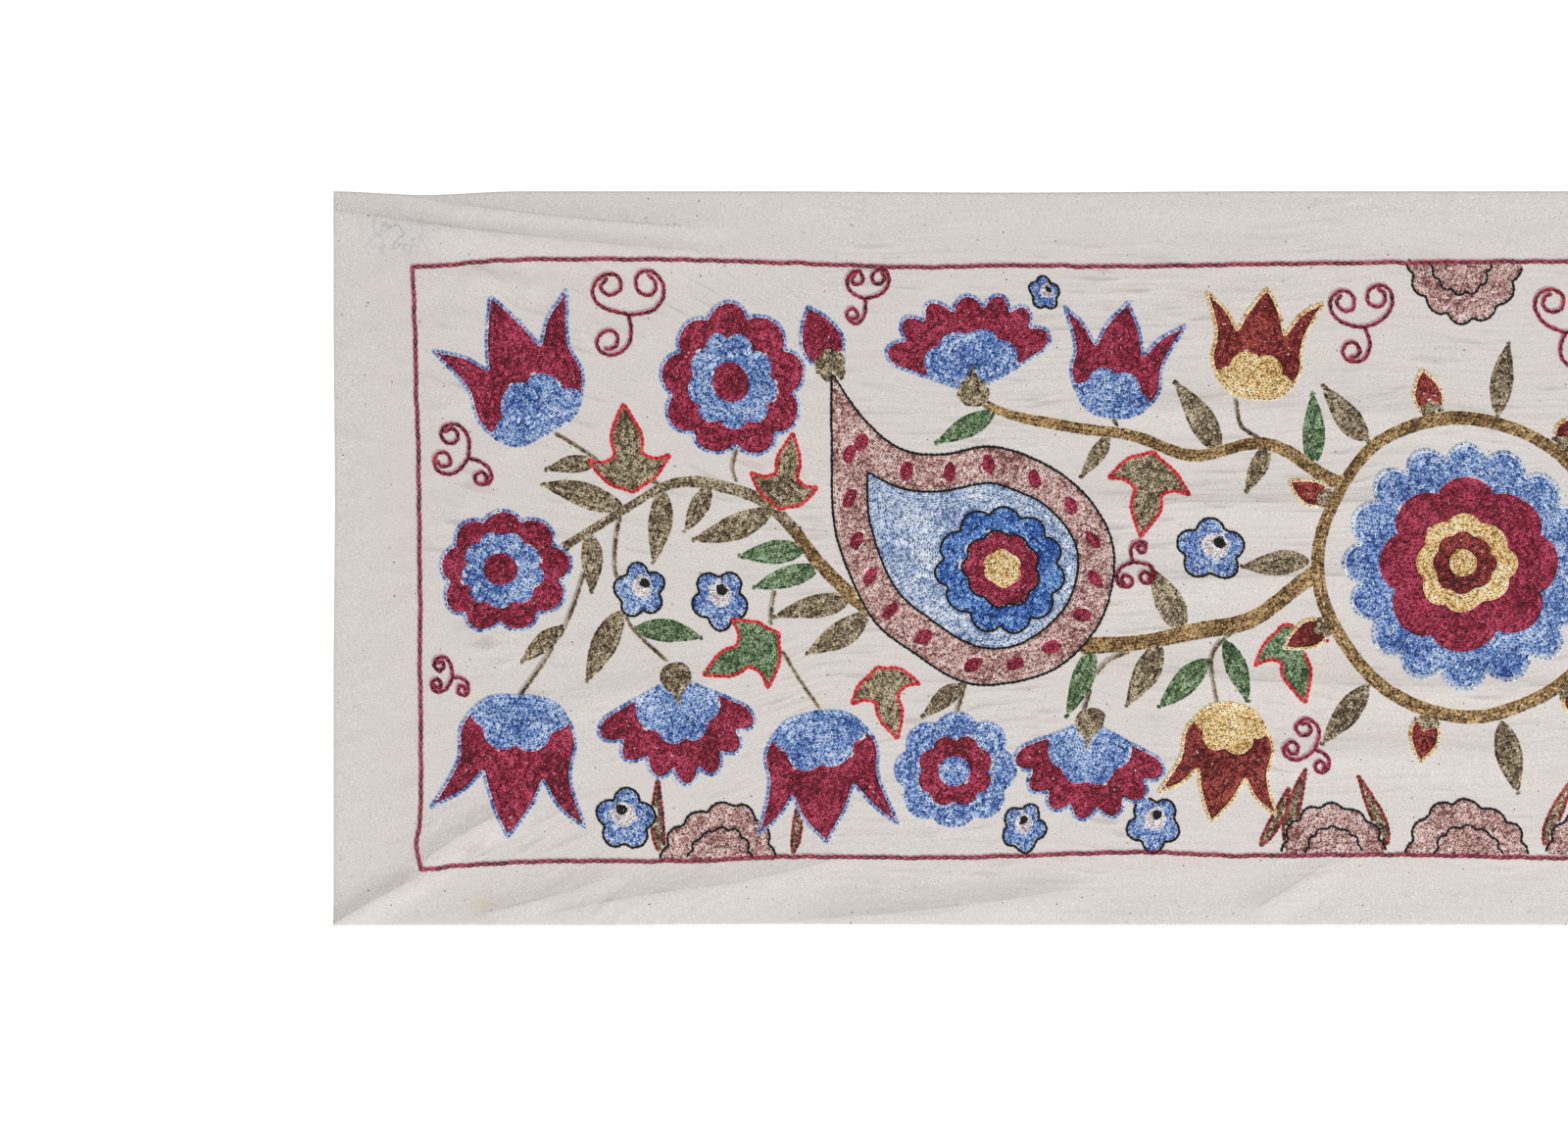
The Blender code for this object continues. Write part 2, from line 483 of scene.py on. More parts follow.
def gap_stitches(field, first, ends):
    """Single stitches where rows leave cloth showing, widest gaps first, each along the rows beside it."""
    nearest = np.full(field.shape, FAR)
    bring_near(nearest, first, ends)
    steep_y, steep_x = np.gradient(field)
    rows, columns = np.nonzero((nearest > GAP_FROM) & (field < -0.1 * EDGE_ROW))
    extra = []
    for i in np.argsort(-nearest[rows, columns]):
        row, column = rows[i], columns[i]
        if nearest[row, column] > GAP_FROM:
            angle = math.atan2(steep_x[row, column], -steep_y[row, column])
            half = 0.5 * GAP_STITCH * np.array([math.cos(angle), math.sin(angle)])
            middle = DESIGN_CELL * (first + (column, row))
            extra.append(np.hstack([middle - half, middle + half]))
            bring_near(nearest, first, extra[-1][None])
    return np.array(extra).reshape(-1, 4)


# Stitches that are worked so far, and how far each place lies from what is in front there
worked = defaultdict(list)
FRONT_REACH = np.ceil(np.divide(HALF_FIELD, DESIGN_CELL)).astype(int)
front = np.full(2 * FRONT_REACH[::-1] + 1, FAR)


def in_front(points):
    """Distance from what lies in front of the points, negative under it."""
    cell = (points / DESIGN_CELL + FRONT_REACH).round().astype(int)
    return front[cell[:, 1], cell[:, 0]]


def bring_forward(field, first):
    """Makes the area of this field hide what is worked later."""
    column, row = first + FRONT_REACH
    part = front[row : row + field.shape[0], column : column + field.shape[1]]
    np.minimum(part, field, out=part)


def strayed(points, size, wavelength, seed):
    """The points moved smoothly, by about that size at most."""
    return points + size * np.stack([drift(*points.T, wavelength, s) for s in (seed, seed + 1)], 1)


def by_hand(line):
    """The line as a hand draws it: off by a millimetre or so."""
    return strayed(line, HAND_DRIFT, 90, 3)


def stitch_along(line, closed, step):
    """Start and end points of stitches of about that length, end to end along the line."""
    line = closed_up(line, closed)
    at = run_along(line)
    count = max(1, round(at[-1] / step))
    knots = np.arange(count + 1) * at[-1] / count
    knots[1:-1] += rng.uniform(-STITCH_JITTER, STITCH_JITTER, count - 1) * step
    if closed and count > 3:
        knots = (knots + rng.uniform(0, step)) % at[-1]
        knots[-1] = knots[0]
    points = points_at(knots, at, line)
    return np.hstack([points[:-1], points[1:]])


def work(kind, thread, ends, mirrored):
    """Works stitches, less those under what already lies in front, and their mirror image."""
    ends = ends[in_front((ends[:, :2] + ends[:, 2:]) / 2) > 0]
    for image in (ends, ends * (-1, 1, -1, 1)) if mirrored else (ends,):
        tone = rng.normal(*TONES[kind], (len(ends), 1))
        worked[thread, kind].append(np.hstack([image + rng.normal(0, STITCH_SWAY, ends.shape), tone]))


Fill = namedtuple("Fill", "thread inside outside", defaults=((),))
Line = namedtuple("Line", "thread points closed kind", defaults=("line",))


def put_down(parts, x=0.0, y=0.0, turn=0.0, size=1.0, bend=0.0, mirrored=True):
    """Works a motif's parts at a place. What is put down first lies in front."""

    def put(line):
        return by_hand(moved(line, x, y, turn, size, bend))

    for part in parts:
        if isinstance(part, Fill):
            borders = ([Border(put(line), outlined) for line, outlined in side] for side in part[1:])
            field, hiding, first = depth_grids(*borders)
            rows = [stitch_along(line, closed, FILL_STITCH) for line, closed in fill_rows(field, first)]
            if rows:
                ends = np.vstack(rows)
                work("fill", part.thread, np.vstack([ends, gap_stitches(field, first, ends)]), mirrored)
            bring_forward(hiding, first)
        else:
            step = LINK_STITCH if part.kind == "link" else LINE_STITCH
            work(part.kind, part.thread, stitch_along(put(part.points), part.closed, step), mirrored)


# Motifs, each growing up from (0, 0) or round it
TULIP = (
    ((0, -2), (22, 2), (38, 22), (38, 46), (50, 78)),
    ((50, 78), (33, 66), (21, 50)),
    ((21, 50), (14, 68), (0, 90)),
)
LEAF = (((0, 0), (9, 14), (13, 36), (8, 60), (0, 80)),)
BLADE = (((0, 0), (6, 20), (7, 50), (4, 78), (0, 100)),)
LOBED = (
    ((0, 0), (9, 6), (27, 15), (44, 38)),
    ((44, 38), (27, 36), (13, 44)),
    ((13, 44), (15, 64), (0, 96)),
)
BUD = (((0, 0), (11, 6), (15, 20), (9, 36), (0, 48)),)
CALYX = (((0, -10), (8, -8), (12, 0), (9, 8)), ((9, 8), (4, 12), (0, 22)))
PAISLEY = (
    (64, 160), (22, 136), (-28, 108), (-66, 62), (-80, 4), (-58, -50), (-4, -76),
    (52, -60), (78, -12), (72, 36), (50, 70), (42, 108), (64, 160),
)


def tulip(petals, cup, edge):
    body = even_outline(*TULIP)
    base = scalloped(35, 7, 0.16, centre=(0, 2), start=0.45)
    return [
        Line(edge, body, True),
        Fill(cup, [lined(body), bare(base)]),
        Fill(petals, [lined(body)], [bare(base)]),
    ]


def carnation(petals, middle, edge):
    angle = np.radians(np.linspace(-74, 74, 64))
    wave = np.abs(np.sin(7 * (angle + math.radians(74)) * 180 / 148)) ** 0.8
    fan = np.vstack([[(0, 0)], points_round((0, 10), angle, 64 * (0.84 + 0.16 * wave))])
    heart = scalloped(36, 9, 0.14, centre=(0, 12), start=0.3)
    calyx = even_outline(*CALYX)
    return [
        Fill("olive", [bare(calyx)]),
        Line(edge, fan, True),
        Fill(middle, [lined(fan), bare(heart)], [bare(calyx)]),
        Fill(petals, [lined(fan)], [bare(heart), bare(calyx)]),
    ]


def rosette(petals, ring, heart, edge, lobes=9):
    rim = scalloped(46, lobes, 0.16)
    inner = scalloped(29, lobes, 0.16, start=math.pi / lobes)
    core = disc(12)
    return [
        Line(edge, rim, True),
        Fill(heart, [bare(core)]),
        Fill(ring, [bare(inner)], [bare(core)]),
        Fill(petals, [lined(rim)], [bare(inner)]),
    ]


def blossom():
    petals = scalloped(25, 5, 0.30, power=0.8)
    eye = disc(10, centre=(3, 3))
    pip = disc(4.6, centre=(6, 6))
    return [
        Line("black", petals, True, "fine"),
        Fill("black", [bare(pip)]),
        Fill("white", [bare(eye)], [bare(pip)]),
        Fill("light_blue", [lined(petals)], [bare(eye)]),
    ]


def bud(petals, edge):
    body = even_outline(*BUD)
    calyx = scalloped(12, 5, 0.2, centre=(0, 2))
    return [
        Fill("olive", [bare(calyx)]),
        Line(edge, body, True),
        Fill(petals, [lined(body)], [bare(calyx)]),
    ]


def bare_leaf(thread):
    return [Fill(thread, [bare(even_outline(*LEAF))])]


def lined_leaf(runs, thread, edge):
    body = even_outline(*runs)
    return [Line(edge, body, True), Fill(thread, [lined(body)])]


def half_rosette():
    rim = scalloped(62, 12, 0.12)
    inner = scalloped(34, 12, 0.14)
    above = np.array([(-80, -3), (80, -3), (80, 80), (-80, 80)], float)
    return [
        *(Line("black", np.roll(line, 30, axis=0)[:61], False, "fine") for line in (rim, inner)),
        Fill("rose", [lined(inner), bare(above)]),
        Fill("rose", [lined(rim), bare(above)], [lined(inner)]),
    ]


def line_inside(body, inset):
    """The closed line that lies that far inside another."""
    field, _, first = depth_grids([bare(body)])
    return max(level_lines(field, first, -inset), key=len)[::3]


def great_paisley():
    body = spline(PAISLEY)[:-1]
    centre = (0, -2)
    inner = line_inside(body, 24)
    between = line_inside(body, 12)
    spot = disc(4.4, steps=14) * (1, 1.5)
    places = between[:: len(between) // 17]
    spots = [bare(moved(spot, x, y, 35 + 7 * i)) for i, (x, y) in enumerate(places)]
    outer_ring = scalloped(43, 11, 0.15, centre)
    inner_ring = scalloped(26, 9, 0.15, centre, start=0.2)
    heart = scalloped(13, 6, 0.15, centre)
    return [
        *(Line("black", line, True, "fine") for line in (body, inner, outer_ring, inner_ring)),
        *(Fill("crimson", [spot]) for spot in spots),
        Fill("rose", [lined(body)], [lined(inner), *spots]),
        Fill("gold", [bare(heart)]),
        Fill("crimson", [lined(inner_ring)], [bare(heart)]),
        Fill("deep_blue", [lined(outer_ring)], [lined(inner_ring)]),
        Fill("pale_blue", [lined(inner)], [lined(outer_ring)]),
    ]


def great_roundel():
    rims = (
        (9, 1, "gold"),
        (21, 8, "dark_red"),
        (33, 8, "gold"),
        (58, 8, "crimson"),
        (78, 16, "light_blue"),
    )
    parts = [Line("pale_blue", scalloped(80, 16, 0.13), True)]
    inside = []
    for radius, lobes, thread in rims:
        rim = bare(disc(radius) if lobes == 1 else scalloped(radius, lobes, 0.13))
        parts.append(Fill(thread, [rim], inside))
        inside = [rim]
    parts.append(Fill("brown", [bare(disc(100, steps=60))], [bare(disc(92, steps=60))]))
    return parts


def tendril():
    """Curls that spring from one point."""
    curls = (curl(104, 1.42, 1), moved(curl(96, 1.40, -1), turn=165), moved(curl(84, 1.36, -1), turn=-80))
    return [Line("crimson", line, False, "link") for line in curls]


MOTIFS = {
    "tulip": tulip("crimson", "light_blue", "light_blue"),
    "gold tulip": tulip("dark_red", "gold", "gold"),
    "carnation": carnation("crimson", "light_blue", "light_blue"),
    "rosette": rosette("crimson", "light_blue", "crimson", "light_blue"),
    "blue rosette": rosette("light_blue", "crimson", "light_blue", "light_blue", 8),
    "blossom": blossom(),
    "bud": bud("crimson", "light_blue"),
    "gold bud": bud("dark_red", "gold"),
    "leaf": bare_leaf("olive"),
    "green leaf": bare_leaf("green"),
    "blade": lined_leaf(BLADE, "olive", "dark_red"),
    "lobed": lined_leaf(LOBED, "olive", "red"),
    "green lobed": lined_leaf(LOBED, "green", "red"),
    "half rosette": half_rosette(),
    "paisley": great_paisley(),
    "roundel": great_roundel(),
    "tendril": tendril(),
}

# Motifs on the middle of the cloth, worked once: name, x, y, turn, size and, for some, bend
MIDDLE = (
    ("roundel", 0, -4, 0, 1.0),
    ("half rosette", 0, -194.8, 0, 0.62),
    ("half rosette", 0, 190.4, 180, 0.62),
)
ROUNDEL_LEAVES = 14
ROUNDEL_RING = 100

# On the left half, and mirrored on the right half; what comes first lies in front
HALF = (
    ("paisley", -305, -8, 62, 0.98),
    ("bud", -414, 124, 22, 0.90),
    ("rosette", -480, 116, 0, 1.06),
    ("tulip", -600, 84, 24, 1.04),
    ("rosette", -628, -10, 0, 0.90),
    ("tulip", -614, -92, 172, 1.0),
    ("carnation", -518, -78, 186, 0.90),
    ("tulip", -422, -102, 184, 0.96),
    ("blue rosette", -334, -138, 0, 0.82),
    ("carnation", -246, -104, 176, 0.86),
    ("gold tulip", -150, -98, 168, 0.82),
    ("carnation", -322, 108, 6, 0.90),
    ("tulip", -233, 96, -10, 0.82),
    ("gold tulip", -139, 108, -8, 0.78),
    ("half rosette", -490, -194.6, 0, 0.60),
    ("half rosette", -86, -193.8, 0, 0.56),
    ("lobed", -546, 44, 4, 0.62),
    ("lobed", -452, 32, -12, 0.56),
    ("lobed", -204, 72, 172, 0.60),
    ("green lobed", -446, -50, 118, 0.62),
    ("green lobed", -118, -44, 196, 0.56),
    ("lobed", -384, -72, 196, 0.50),
    ("blossom", -168, 6, 0, 0.88),
    ("blossom", -488, -26, 40, 0.80),
    ("blossom", -542, -22, 10, 0.72),
    ("blossom", -550, -170, 70, 0.76),
    ("blossom", -288, -174, 50, 0.62),
    ("blossom", -206, -172, 30, 0.74),
    ("blossom", -276, 174, 0, 0.46),
    ("blade", -118, -190, -10, 0.56, 0.10),
    ("blade", -134, -190, -34, 0.46, -0.15),
    ("blade", -50, -190, 12, 0.54, -0.15),
    ("blade", -526, -193, 14, 0.50, 0.15),
    ("blade", -440, -193, -16, 0.40, -0.15),
    ("tendril", -652, 66, 82, 0.66),
    ("tendril", -548, 158, 8, 0.92),
    ("tendril", -392, 168, 0, 0.60),
    ("tendril", -67, 150, 18, 0.80),
    ("tendril", -660, -78, 84, 0.50),
    ("tendril", -98, -124, 62, 0.56),
    ("tendril", -216, -2, 196, 0.50),
)

# Thread, width at the start and at the end, and points
VINES = (
    ("brown", 11, 8, ((-97, -12), (-150, -44), (-215, -54), (-300, -60), (-388, -34), (-440, 20))),
    ("olive", 8, 5, ((-438, 18), (-470, 42), (-510, 50), (-550, 34), (-592, 6))),
    ("brown", 9, 5, ((-84, 50), (-125, 74), (-185, 74), (-240, 86), (-290, 90), (-322, 106))),
)
BRANCHES = (
    ((-478, 46), (-482, 60), (-478, 76)),
    ((-520, 46), (-560, 62), (-602, 86)),
    ((-556, 32), (-560, -4), (-548, -44), (-520, -72)),
    ((-572, 20), (-586, -36), (-600, -66), (-615, -90)),
    ((-444, 14), (-452, -40), (-440, -70), (-421, -98)),
    ((-322, -60), (-330, -84), (-336, -108)),
    ((-206, -54), (-238, -70), (-250, -96)),
    ((-142, -40), (-166, -64), (-162, -94)),
    ((-212, 80), (-224, 84), (-230, 92)),
    ((-128, 74), (-146, 88), (-150, 106)),
)
LEAF_EVERY = 15.0
LEAF_SORTS = (
    ("leaf", 0.64),
    ("lobed", 0.52),
    ("leaf", 0.68),
    ("green leaf", 0.58),
    ("leaf", 0.52),
    ("green lobed", 0.46),
    ("leaf", 0.44),
)
LEAF_SLANTS = (52, 66, 40, 78, 30)
LEAF_FOOT = 0.22
LEAF_BEND = 0.15
LEAF_CLEAR = 2.0

# How far leaves may reach, inside the frame line
FIELD_X = 680
FIELD_Y = (-190, 187)


def fits(line):
    """Whether a leaf is inside the frame line and clear of what lies in front."""
    x, y = line.T
    inside = (np.abs(x) < FIELD_X) & (y > FIELD_Y[0]) & (y < FIELD_Y[1])
    return inside.all() and (in_front(line) > LEAF_CLEAR).all()


def leaves_along(points, first_sort):
    """Leaves on both sides of a stem, where there is room."""
    path = spline(points, 10)
    at = run_along(path)
    for i, place in enumerate(np.arange(LEAF_EVERY / 2, at[-1], LEAF_EVERY)):
        x, y = points_at(place, at, path)
        ahead_x, ahead_y = points_at(place + 3, at, path)
        heading = math.degrees(math.atan2(ahead_y - y, ahead_x - x)) - 90
        ways = [(side, slant) for slant in LEAF_SLANTS for side in ((1, -1) if i % 2 else (-1, 1))]
        for tried, (side, slant) in enumerate(ways):
            motif, size = LEAF_SORTS[(i + first_sort + tried // 4) % len(LEAF_SORTS)]
            outer = MOTIFS[motif][-1].inside[0].line
            clear_of_foot = outer[outer[:, 1] > LEAF_FOOT * outer[:, 1].max()]
            put = (x, y, heading + side * slant, size, LEAF_BEND * side)
            if fits(by_hand(moved(clear_of_foot, *put))):
                put_down(MOTIFS[motif], *put)
                break


def work_design():
    for motif, *place in MIDDLE:
        put_down(MOTIFS[motif], *place, mirrored=False)
    for i in range(ROUNDEL_LEAVES):
        turn = 360 * (i + 0.5) / ROUNDEL_LEAVES
        angle = math.radians(turn)
        x, y = -ROUNDEL_RING * math.sin(angle), -4 + ROUNDEL_RING * math.cos(angle)
        put_down(MOTIFS["leaf" if i % 2 else "gold bud"], x, y, turn, 0.62, mirrored=False)
    for motif, *place in HALF:
        put_down(MOTIFS[motif], *place)
    for thread, start_width, end_width, points in VINES:
        put_down([Fill(thread, [bare(ribbon(points, start_width, end_width))])])
    for i, (*_, points) in enumerate(VINES):
        leaves_along(points, i)
    for i, points in enumerate(BRANCHES):
        leaves_along(points, 2 * i + 1)
    for points in BRANCHES:
        put_down([Line("olive", spline(points), False, "link")])


# The plain line round the field, corner to corner on each side
FRAME_SIDES = (
    ((-688.4, 192.4), (-620, 195), (-521, 195), (-445, 193), (-363, 190.6), (-298, 192), (-217, 191),
     (-108, 192.5), (-10, 193.5), (67, 193.8), (180, 192.5), (330, 194), (480, 192), (600, 193.5),
     (686, 192)),
    ((686, 192), (684, 110), (685.5, 0), (683, -100), (684, -199)),
    ((684, -199), (500, -196), (350, -198), (200, -195), (67, -196), (-42, -193.9), (-150, -194.5),
     (-217, -192.2), (-340, -196), (-445, -195.7), (-500, -198), (-590, -198), (-642, -200), (-683, -203.5)),
    ((-682.6, -203.3), (-685.3, -186), (-683, -160), (-683.5, -40), (-685, 60), (-687, 154), (-688.4, 192.4)),
)


# Stitches as meshes. A template's points are: place along the stitch as a share of its length, place across
# it and height over the cloth in millimetres, and place across it from -1 to 1, which sets where the material
# paints shade
Template = namedtuple("Template", "points faces")
FOOT = 0.05


def bean(profile, sections):
    """A stitch as one long swelling. Its profile is places across it, -1 to 1, with shares of its height, and
    its sections are places along it with its half width and height there."""
    points = [
        (along, across * half_width, max(share * height, FOOT), across)
        for along, half_width, height in sections
        for across, share in profile
    ]
    a = np.arange(len(points)).reshape(len(sections), -1)[:-1, :-1].ravel()
    b = a + len(profile)
    return Template(np.array(points, float), np.stack([a, b, b + 1, a, b + 1, a + 1], 1).reshape(-1, 3))


def link(half_width, thread, length_steps, sides, overlap=0.12):
    """A stitch as a real loop of thread, narrow at its start and passing over the end of the one before."""
    turn = np.linspace(0, 2 * math.pi, length_steps, endpoint=False)[:, None]
    u = 0.5 * (1 + overlap) * (1 - np.cos(turn))
    v = (half_width - thread) * np.sin(turn) * (0.80 - 0.28 * np.cos(turn))
    w = thread * (0.5 + 0.6 * np.exp(-(((u - 0.20) / 0.14) ** 2)) - 0.6 * np.exp(-((u / 0.08) ** 2)))
    around = 2 * math.pi * (np.arange(sides) + 0.5) / sides
    out, up = thread * np.cos(around), 0.7 * thread * np.sin(around)
    # The inside of the loop takes a larger place across, so the material paints shade there
    looks = np.where(out < 0, 0.84, 0.55)
    rings = (u - 0.19 * out * np.cos(turn), v + out * np.sin(turn), w + up, looks + 0 * turn)
    a = np.arange(length_steps * sides).reshape(length_steps, sides)
    b, d = np.roll(a, -1, 0), np.roll(a, -1, 1)
    c = np.roll(d, -1, 0)
    return Template(np.stack(rings, -1).reshape(-1, 4), np.stack([a, c, b, a, d, c], -1).reshape(-1, 3))


TEMPLATES = {
    "fill": bean(
        ((-1, 0.0), (0, 1.0), (1, 0.0)),
        ((-0.12, 0.98, 0.50), (0.30, 1.12, 0.76), (0.74, 1.12, 0.60), (1.12, 0.92, 0.14)),
    ),
    "line": bean(
        ((-1, 0.0), (-0.58, 0.96), (0, 0.66), (0.58, 0.96), (1, 0.0)),
        ((-0.10, 0.72, 0.56), (0.50, 1.38, 0.94), (1.10, 0.76, 0.24)),
    ),
    "fine": bean(
        ((-1, 0.0), (-0.40, 1.0), (0.40, 1.0), (1, 0.0)),
        ((-0.10, 0.50, 0.50), (0.50, 1.08, 1.00), (1.10, 0.54, 0.24)),
    ),
    "link": link(2.00, 0.84, 8, 3),
    "frame": link(1.86, 0.80, 10, 4),
}


def stitches(kind, rows):
    """Points, faces and attributes of stitches of one kind, given as rows of x0, y0, x1, y1, tone."""
    template = TEMPLATES[kind]
    start, step, tone = rows[:, :2], rows[:, 2:4] - rows[:, :2], rows[:, 4]
    length = np.hypot(*step.T)[:, None]
    along = step / length
    across = np.stack([-along[:, 1], along[:, 0]], 1)
    u, v, w, side = template.points.T
    flat = start[:, None] + along[:, None] * (u * length)[..., None] + across[:, None] * v[:, None]
    x, y = MM * flat[..., 0].ravel(), MM * flat[..., 1].ravel()
    z = cloth_top(x, y) + MM * np.tile(w, len(rows))
    points = np.stack([*place_on_cloth(x, y), z], 1)
    faces = (template.faces[None] + len(u) * np.arange(len(rows))[:, None, None]).reshape(-1, 3)
    looks = np.stack([np.repeat(tone, len(u)), np.tile(u, len(rows)), np.tile(side, len(rows))])
    return points, faces, looks


def stitched(name, kinds):
    """One piece with all stitches of a thread. kinds maps each kind of stitch to its rows."""
    points, faces, looks = zip(*(stitches(kind, rows) for kind, rows in kinds.items()))
    firsts = np.cumsum([0, *map(len, points)])
    faces = np.vstack([some + first for some, first in zip(faces, firsts)])
    return mesh_object(name, np.vstack(points), faces, zip(("tone", "along", "across"), np.hstack(looks)))


def frame_line_rows():
    """The plain line round the field, as stitches."""
    rows = []
    for side in FRAME_SIDES:
        line = spline(side, 24)
        rows.append(stitch_along(line + 0.35 * drift(*line.T, 22, 41)[:, None], False, FRAME_STITCH))
    ends = np.vstack(rows)
    return np.hstack([ends, rng.normal(*TONES["frame"], (len(ends), 1))])


def embroidery_rows():
    """All stitches, {thread: {kind: rows}}. The right half is a mirror image, worked by hand too."""
    work_design()
    threads = defaultdict(dict)
    for (thread, kind), rows in worked.items():
        rows = np.vstack(rows)
        rows[:, 4] += TINT * drift(*rows[:, :2].T, 38, 31)
        for end in (rows[:, :2], rows[:, 2:4]):
            end[:] = strayed(end, HALVES_DIFFER, 240, 32)
        threads[thread][kind] = rows
    return threads


# Materials
# A stitch's hollow, where shade is painted: its middle, half its length and half its width, as shares of the
# stitch
HOLLOW_AT = 0.46
HOLLOW_LENGTH = 0.31
HOLLOW_WIDTH = 0.46
SHADE_SHARE = 0.25

# Cells to a metre, largest radius as a share of a cell, from which lot on a cell has a fleck, how dark it is
SEED_FLECKS = (
    (60, 0.036, 0.40, 0.90, (92, 78, 68)),
    (95, 0.042, 0.45, 0.65, (124, 110, 100)),
    (150, 0.045, 0.55, 0.45, (160, 148, 138)),
)


class Nodes:
    """A material's nodes, with short ways to add and join them."""

    def __init__(self, name):
        self.material = bpy.data.materials.new(name)
        self.material.use_nodes = True
        self.tree = self.material.node_tree
        self.shader = self.tree.nodes["Principled BSDF"]
        self.place = self.add("ShaderNodeTexCoord").outputs["Object"]

    def put(self, node, values):
        """Sets a node's sockets, by name or number, to values or to other nodes' outputs."""
        for key, value in values.items():
            if isinstance(value, bpy.types.NodeSocket):
                self.tree.links.new(value, node.inputs[key])
            else:
                node.inputs[key].default_value = value

    def add(self, kind, values=(), **settings):
        node = self.tree.nodes.new(kind)
        for key, setting in settings.items():
            setattr(node, key, setting)
        self.put(node, dict(values))
        return node

    def math(self, operation, *values):
        return self.add("ShaderNodeMath", enumerate(values), operation=operation).outputs[0]

    def times(self, first, second):
        return self.math("MULTIPLY", first, second)

    def span(self, value, low, high, to_low=0.0, to_high=1.0):
        """The value, moved from one range to another and kept inside it."""
        values = enumerate((value, low, high, to_low, to_high))
        return self.add("ShaderNodeMapRange", values, clamp=True).outputs["Result"]

    def mix(self, factor, first, second):
        values = {0: factor, 6: first, 7: second}
        return self.add("ShaderNodeMix", values, data_type="RGBA", clamp_factor=True).outputs[2]

    def mapped(self, kind="POINT", **values):
        """The place on the cloth, shifted, turned and stretched."""
        return self.add("ShaderNodeMapping", {"Vector": self.place, **values}, vector_type=kind).outputs[0]

    def noise(self, scale, detail=2.0, place=None, **more):
        place = self.place if place is None else place
        values = {"Vector": place, "Scale": scale, "Detail": detail, **more}
        return self.add("ShaderNodeTexNoise", values).outputs["Fac"]

    def split(self, vector):
        return self.add("ShaderNodeSeparateXYZ", {0: vector}).outputs

    def finished(self, looks):
        self.put(self.shader, looks)
        return self.material

    def attribute(self, name):
        return self.add("ShaderNodeAttribute", attribute_name=name).outputs["Fac"]

    def bump(self, height, distance, strength, **below):
        values = {"Height": height, "Distance": distance, "Strength": strength, **below}
        return self.add("ShaderNodeBump", values).outputs[0]


def rgb(*parts):
    """A colour from its sRGB numbers, 0 to 255."""
    shares = [part / 255 for part in parts]
    linear = (share / 12.92 if share <= 0.04045 else ((share + 0.055) / 1.055) ** 2.4 for share in shares)
    return (*linear, 1.0)


def silk(name, colours):
    """Floss of one dye lot: each stitch takes the dye and the light a little differently and is painted
    lighter towards its end, with painted shade in the hollow of its loop, where it starts and down its sides."""
    nodes = Nodes(name)
    dark, base, light = (rgb(*colour) for colour in colours)
    tone, along, across = (nodes.attribute(label) for label in ("tone", "along", "across"))
    fibres = nodes.noise(1.0, place=nodes.mapped(Scale=(1250, 1250, 1250)))
    chance = nodes.math("FRACT", nodes.times(tone, 37.0))
    tone_and_painted_light = nodes.math("ADD", tone, nodes.span(fibres, 0.3, 0.7, -0.36, 0.36))
    # Painted light: each stitch a little darker at its start and lighter towards its end
    tone_and_painted_light = nodes.math("ADD", tone_and_painted_light, nodes.span(along, 0.20, 0.85, -0.16, 0.16))
    darker = nodes.mix(nodes.span(tone_and_painted_light, 0.0, 0.45), dark, base)
    colour = nodes.mix(nodes.span(tone_and_painted_light, 0.45, 1.0), darker, light)
    # Painted shade: dark in the loop's hollow, down the stitch's sides and at its start; the same mask shapes
    # the bump
    aside = nodes.math("ABSOLUTE", across)
    off_middle = nodes.math("MULTIPLY_ADD", along, 1 / HOLLOW_LENGTH, -HOLLOW_AT / HOLLOW_LENGTH)
    off_centre = nodes.math("DIVIDE", aside, HOLLOW_WIDTH)
    round_hollow = nodes.math("ADD", *(nodes.math("POWER", off, 2.0) for off in (off_middle, off_centre)))
    hollow = nodes.times(nodes.span(round_hollow, 1.30, 0.50), nodes.span(chance, 0.0, 0.6, 0.35))
    sides = nodes.span(aside, 0.74, 1.0, 0.0, 0.65)
    start = nodes.span(along, 0.10, -0.08, 0.0, 0.6)
    painted_shade = nodes.math("MAXIMUM", nodes.math("MAXIMUM", hollow, sides), start)
    shade = (*(SHADE_SHARE * part for part in dark[:3]), 1.0)
    relief = nodes.bump(nodes.math("SUBTRACT", 1.0, painted_shade), 0.00030, 0.8)
    return nodes.finished({
        "Base Color": nodes.mix(nodes.times(painted_shade, 0.92), colour, shade),
        "Normal": nodes.bump(fibres, 0.00022, 0.5, Normal=relief),
        "Roughness": 0.52,
        "Specular IOR Level": 0.24,
    })


def stain(nodes, centre, size):
    """1 at the middle of a soft spot on the cloth and 0 outside it."""
    shift = (-centre[0] / size[0], -centre[1] / size[1], 0)
    spot = nodes.mapped(Location=shift, Scale=(1 / size[0], 1 / size[1], 0))
    distance = nodes.add("ShaderNodeVectorMath", {0: spot}, operation="LENGTH").outputs["Value"]
    return nodes.span(distance, 1.0, 0.1)


def flecks(nodes, cells, radius, share):
    """1 inside small scattered dots."""
    dots = nodes.add("ShaderNodeTexVoronoi", {"Vector": nodes.place, "Scale": cells}, voronoi_dimensions="2D")
    lot = nodes.add("ShaderNodeSeparateColor", {0: dots.outputs["Color"]}).outputs[0]
    return nodes.math("LESS_THAN", dots.outputs["Distance"], nodes.span(lot, share, 1.0, 0.0, radius))


